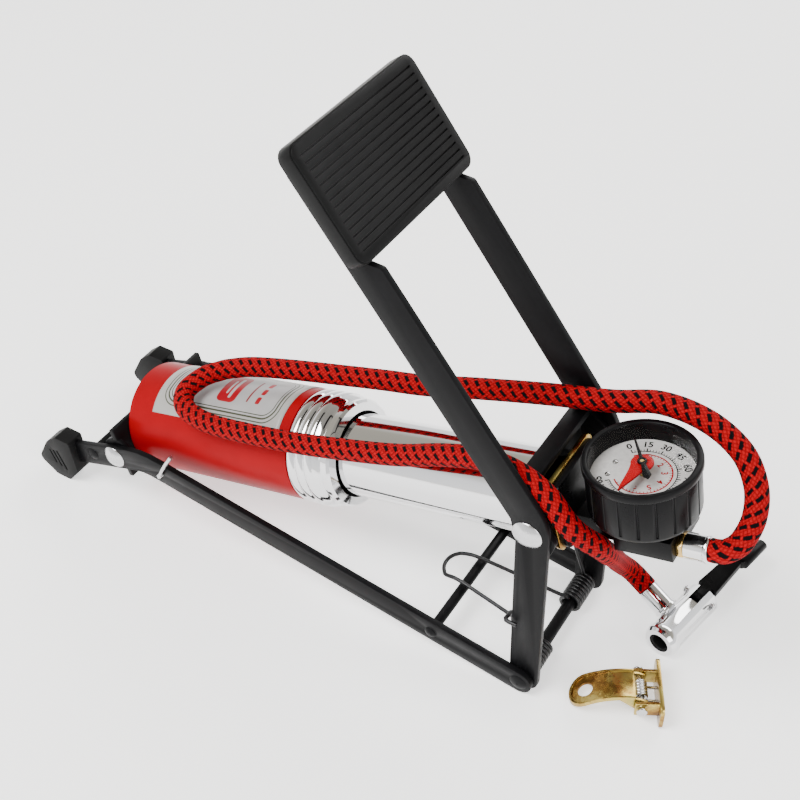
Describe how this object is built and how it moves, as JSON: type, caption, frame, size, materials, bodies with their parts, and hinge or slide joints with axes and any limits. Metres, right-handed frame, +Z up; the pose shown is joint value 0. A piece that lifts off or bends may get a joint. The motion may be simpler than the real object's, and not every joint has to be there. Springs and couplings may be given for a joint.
{
  "type": "foot pump",
  "caption": "Foot-operated tyre pump with a lever pad, red barrel, chrome piston tube, pressure gauge and braided hose ending in a lever chuck",
  "frame": {"origin": "on the ground under the middle of the pump, without the hose and the chuck", "axes": "+X points to the gauge end, +Y to the pump's left side, +Z up"},
  "size_m": [0.3697, 0.1345, 0.2579],
  "materials": {
    "black_paint": "satin black powder coat",
    "red_paint": "gloss red",
    "chrome": "bright plating",
    "steel": "bright zinc",
    "black_rubber": "matt black",
    "pad_rubber": "ribbed matt black",
    "label": "silver-grey film",
    "ivory_plastic": "natural nylon",
    "alloy": "machined",
    "brass": "machined brass",
    "zinc_yellow": "yellow zinc plating",
    "black_plastic": "black moulded plastic",
    "dial_white": "printed dial",
    "clear": "clear lens",
    "needle_red": "red",
    "red_braid": "woven red braid with black flecks",
    "spring_steel": "black spring wire"
  },
  "bodies": {
    "base": {"rail_right": "black_paint", "rail_left": "black_paint", "rear_foot_right": "black_rubber", "rear_foot_left": "black_rubber", "rear_cross_rod": "black_paint", "middle_cross_rod": "black_paint", "lever_axle": "black_paint", "barrel_pivot_rivets": "steel", "hose_run_2": "red_braid", "chuck_ferrule": "chrome", "chuck_body": "chrome", "chuck_seal": "black_rubber", "chuck_pin": "steel", "clip_jaw": "zinc_yellow", "clip_pin": "steel", "clip_spring": "steel"},
    "lever": {"lever_arm_right": "black_paint", "lever_arm_left": "black_paint", "pedal_plate": "black_paint", "pedal_pad": "pad_rubber", "lever_rivets": "steel", "return_spring": "spring_steel"},
    "barrel": {"rear_yoke": "black_paint", "barrel_tube": "red_paint", "rear_cap": "black_paint", "front_cap": "chrome", "barrel_label": "label", "guide_bush": "ivory_plastic", "wiper_seal": "black_rubber"},
    "piston": {"piston_tube": "chrome", "piston_head": "alloy", "piston_ring": "black_rubber", "piston_cup": "black_rubber", "piston_valve": "brass", "front_bracket": "black_paint", "end_plate": "zinc_yellow", "outlet_block": "black_plastic", "gauge_case": "black_plastic", "gauge_bezel": "black_plastic", "gauge_dial": "dial_white", "gauge_lens": "clear", "gauge_stem": "brass", "gauge_spindle": "brass", "outlet_nut": "brass", "hose_ferrule": "chrome", "hose_run_1": "red_braid"},
    "needle": {"gauge_needle": "black_plastic"},
    "marker": {"gauge_marker": "needle_red"},
    "hook": {"lock_hook": "steel"},
    "chuck_thumb": {"chuck_lever": "black_plastic"},
    "clip_thumb": {"clip_handle": "zinc_yellow"}
  },
  "joints": [
    {"name": "lever_hinge", "type": "hinge", "parent": "base", "child": "lever", "pos_m": [0.11098, 0, 0.007], "axis": [0, -1, 0], "range_deg": [0, 50], "stiffness_Nm_per_rad": 0.6, "springref_deg": -51.57, "deforming": ["return_spring"]},
    {"name": "barrel_hinge", "type": "hinge", "parent": "base", "child": "barrel", "pos_m": [-0.12532, 0, 0.0308], "axis": [0, -1, 0], "range_deg": [-5.54, 0.05], "deforming": ["hose_run_2"]},
    {"name": "piston_slide", "type": "slide", "parent": "barrel", "child": "piston", "axis": [0.9646, 0, 0.2639], "range_m": [-0.08029, 0.0002], "deforming": ["hose_run_1"]},
    {"name": "needle_hinge", "type": "hinge", "parent": "piston", "child": "needle", "pos_m": [0.13998, 0, 0.134], "axis": [-0.1736, 0, 0.9848], "range_deg": [-235, 0]},
    {"name": "marker_hinge", "type": "hinge", "parent": "piston", "child": "marker", "pos_m": [0.13998, 0, 0.134], "axis": [-0.1736, 0, 0.9848], "continuous": true},
    {"name": "hook_hinge", "type": "hinge", "parent": "base", "child": "hook", "pos_m": [-0.09302, -0.04, 0.0354], "axis": [0, -1, 0], "range_deg": [-60, 75]},
    {"name": "chuck_lever_hinge", "type": "hinge", "parent": "base", "child": "chuck_thumb", "pos_m": [0.16414, 0.04528, 0.012], "axis": [0.9781, -0.2079, 0], "range_deg": [0, 80]},
    {"name": "clip_hinge", "type": "hinge", "parent": "base", "child": "clip_thumb", "pos_m": [0.16058, -0.0153, 0.008], "axis": [-0.4772, 0.8788, 0], "range_deg": [0, 20], "stiffness_Nm_per_rad": 0.02, "springref_deg": -17.19}
  ],
  "couplings": [
    {"joint": "barrel_hinge", "follows": "lever_hinge", "ratio": -0.10989},
    {"joint": "piston_slide", "follows": "lever_hinge", "m_per_rad": -0.091778}
  ]
}
